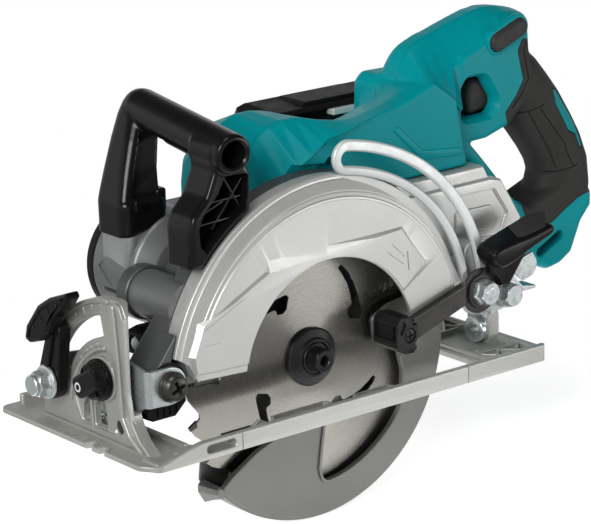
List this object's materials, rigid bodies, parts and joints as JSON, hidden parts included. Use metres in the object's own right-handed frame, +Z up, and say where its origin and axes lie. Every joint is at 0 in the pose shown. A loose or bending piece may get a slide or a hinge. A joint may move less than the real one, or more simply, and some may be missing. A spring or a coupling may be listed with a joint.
{
  "type": "cordless circular saw",
  "caption": "Rear-handle cordless circular saw with a tilting, depth-setting body on a flat base plate, sprung lower blade guard, geared brushless motor and slide-off battery.",
  "frame": {"origin": "on the sole plane under the arbor, on the blade's mid-plane, with the saw square and at full depth", "axes": "-X is the front (cutting direction), +X the rear handle, -Y the blade side, +Z up from the sole"},
  "size_m": [0.4356, 0.1934, 0.2865],
  "materials": {
    "cast_base": "satin as-cast light alloy",
    "case_silver": "satin silver paint",
    "cast_dark": "satin dark grey paint",
    "zinc": "bright zinc plate",
    "black_plastic": "satin moulded",
    "grey_plastic": "fine moulded texture",
    "dark_steel": "black oxide",
    "blade_steel": "fine circular grind",
    "guard_grey": "satin anodised grey",
    "teal_plastic": "satin moulded",
    "grip_rubber": "soft-touch",
    "battery_black": "fine moulded texture",
    "lens": "clear"
  },
  "bodies": {
    "base": {"base_plate": "cast_base", "bevel_quadrant": "cast_base", "quadrant_rivets": "zinc"},
    "stop_dial": {"stop_dial": "black_plastic"},
    "bevel_frame": {"front_bracket": "zinc", "rear_bracket": "zinc", "front_pivot_pin": "dark_steel", "rear_pivot_bolt": "black_plastic", "bevel_clamp_bolt": "zinc", "depth_pivot_screw": "dark_steel", "guide_hinge_bolt": "zinc"},
    "bevel_lever": {"bevel_lever": "black_plastic", "bevel_nut": "zinc"},
    "depth_guide": {"depth_guide": "zinc"},
    "saw_body": {"upper_guard": "case_silver", "gear_housing": "cast_dark", "pivot_washer": "black_plastic", "arbor_bearings": "dark_steel", "gear_train_bearings": "dark_steel", "motor_housing": "cast_dark", "motor_end_cover": "black_plastic", "stator": "dark_steel", "blower_duct": "cast_dark", "duct_collar": "black_plastic", "rear_frame": "case_silver", "depth_clamp_bolt": "zinc", "housing_left": "teal_plastic", "housing_right": "teal_plastic", "rear_grip": "grip_rubber", "housing_screws": "dark_steel", "switch_unit": "black_plastic", "controller": "black_plastic", "terminal_block": "black_plastic", "front_handle": "black_plastic", "work_light": "black_plastic", "light_lens": "lens", "chip_deflector": "black_plastic", "guard_spring": "dark_steel"},
    "arbor": {"arbor_shaft": "dark_steel", "arbor_gear": "dark_steel", "inner_flange": "dark_steel", "outer_flange": "dark_steel", "blade_bolt": "dark_steel", "saw_blade": "blade_steel"},
    "layshaft": {"layshaft": "dark_steel"},
    "rotor": {"rotor_shaft": "dark_steel", "rotor_core": "dark_steel", "cooling_fan": "black_plastic"},
    "lower_guard": {"lower_guard": "guard_grey", "guard_knob": "black_plastic", "guard_lever": "dark_steel", "guard_lever_screw": "dark_steel"},
    "depth_lever": {"depth_lever_arm": "zinc", "depth_lever_cap": "black_plastic"},
    "trigger": {"trigger": "grey_plastic"},
    "lock_off": {"lock_off_button": "grey_plastic"},
    "battery": {"battery_pack": "battery_black"},
    "battery_release": {"battery_release": "black_plastic"},
    "shaft_lock": {"shaft_lock": "grey_plastic"}
  },
  "joints": [
    {"name": "bevel_tilt", "type": "hinge", "parent": "base", "child": "bevel_frame", "pos_m": [0, 0, 0.0135], "axis": [1, 0, 0], "range_deg": [0, 45]},
    {"name": "stop_dial_turn", "type": "hinge", "parent": "base", "child": "stop_dial", "pos_m": [-0.145, 0.014, 0.04], "axis": [1, 0, 0], "range_deg": [-45, 45]},
    {"name": "bevel_lever_turn", "type": "hinge", "parent": "bevel_frame", "child": "bevel_lever", "pos_m": [-0.15, 0.0555, 0.0305], "axis": [1, 0, 0], "range_deg": [-50, 0]},
    {"name": "depth_swing", "type": "hinge", "parent": "bevel_frame", "child": "saw_body", "pos_m": [-0.117, 0, 0.038], "axis": [0, -1, 0], "range_deg": [0, 35]},
    {"name": "guide_swing", "type": "hinge", "parent": "bevel_frame", "child": "depth_guide", "pos_m": [0.1475, -0.014, 0.038], "axis": [0, -1, 0], "range_deg": [-21.5, 0.5]},
    {"name": "arbor_spin", "type": "hinge", "parent": "saw_body", "child": "arbor", "pos_m": [0, 0, 0.026], "axis": [0, -1, 0], "continuous": true},
    {"name": "layshaft_spin", "type": "hinge", "parent": "saw_body", "child": "layshaft", "pos_m": [-0.0268, 0.03, 0.0522], "axis": [0, -1, 0], "continuous": true},
    {"name": "rotor_spin", "type": "hinge", "parent": "saw_body", "child": "rotor", "pos_m": [-0.0535, 0.08, 0.0785], "axis": [0, -1, 0], "continuous": true},
    {"name": "guard_swing", "type": "hinge", "parent": "saw_body", "child": "lower_guard", "pos_m": [0, 0, 0.026], "axis": [0, -1, 0], "range_deg": [0, 105], "stiffness_Nm_per_rad": 0.25, "springref_deg": -20.05},
    {"name": "depth_lever_turn", "type": "hinge", "parent": "saw_body", "child": "depth_lever", "pos_m": [0.122, -0.02, 0.046], "axis": [0, -1, 0], "range_deg": [0, 28]},
    {"name": "trigger_pull", "type": "slide", "parent": "saw_body", "child": "trigger", "axis": [1, 0, 0], "range_m": [0, 0.007], "stiffness_N_per_m": 800, "springref_m": -0.003},
    {"name": "lock_off_press", "type": "slide", "parent": "saw_body", "child": "lock_off", "axis": [0, 1, 0], "range_m": [0, 0.004], "stiffness_N_per_m": 600, "springref_m": -0.003},
    {"name": "battery_slide", "type": "slide", "parent": "saw_body", "child": "battery", "axis": [1, 0, 0], "range_m": [0, 0.118]},
    {"name": "battery_release_press", "type": "slide", "parent": "battery", "child": "battery_release", "axis": [-1, 0, 0], "range_m": [0, 0.0025], "stiffness_N_per_m": 700, "springref_m": -0.002},
    {"name": "shaft_lock_press", "type": "slide", "parent": "saw_body", "child": "shaft_lock", "axis": [0, -1, 0], "range_m": [0, 0.004], "stiffness_N_per_m": 700, "springref_m": -0.002}
  ],
  "couplings": [
    {"joint": "guide_swing", "follows": "depth_swing", "ratio": -0.6},
    {"joint": "layshaft_spin", "follows": "arbor_spin", "ratio": -0.76471},
    {"joint": "rotor_spin", "follows": "arbor_spin", "ratio": 2.2941}
  ]
}
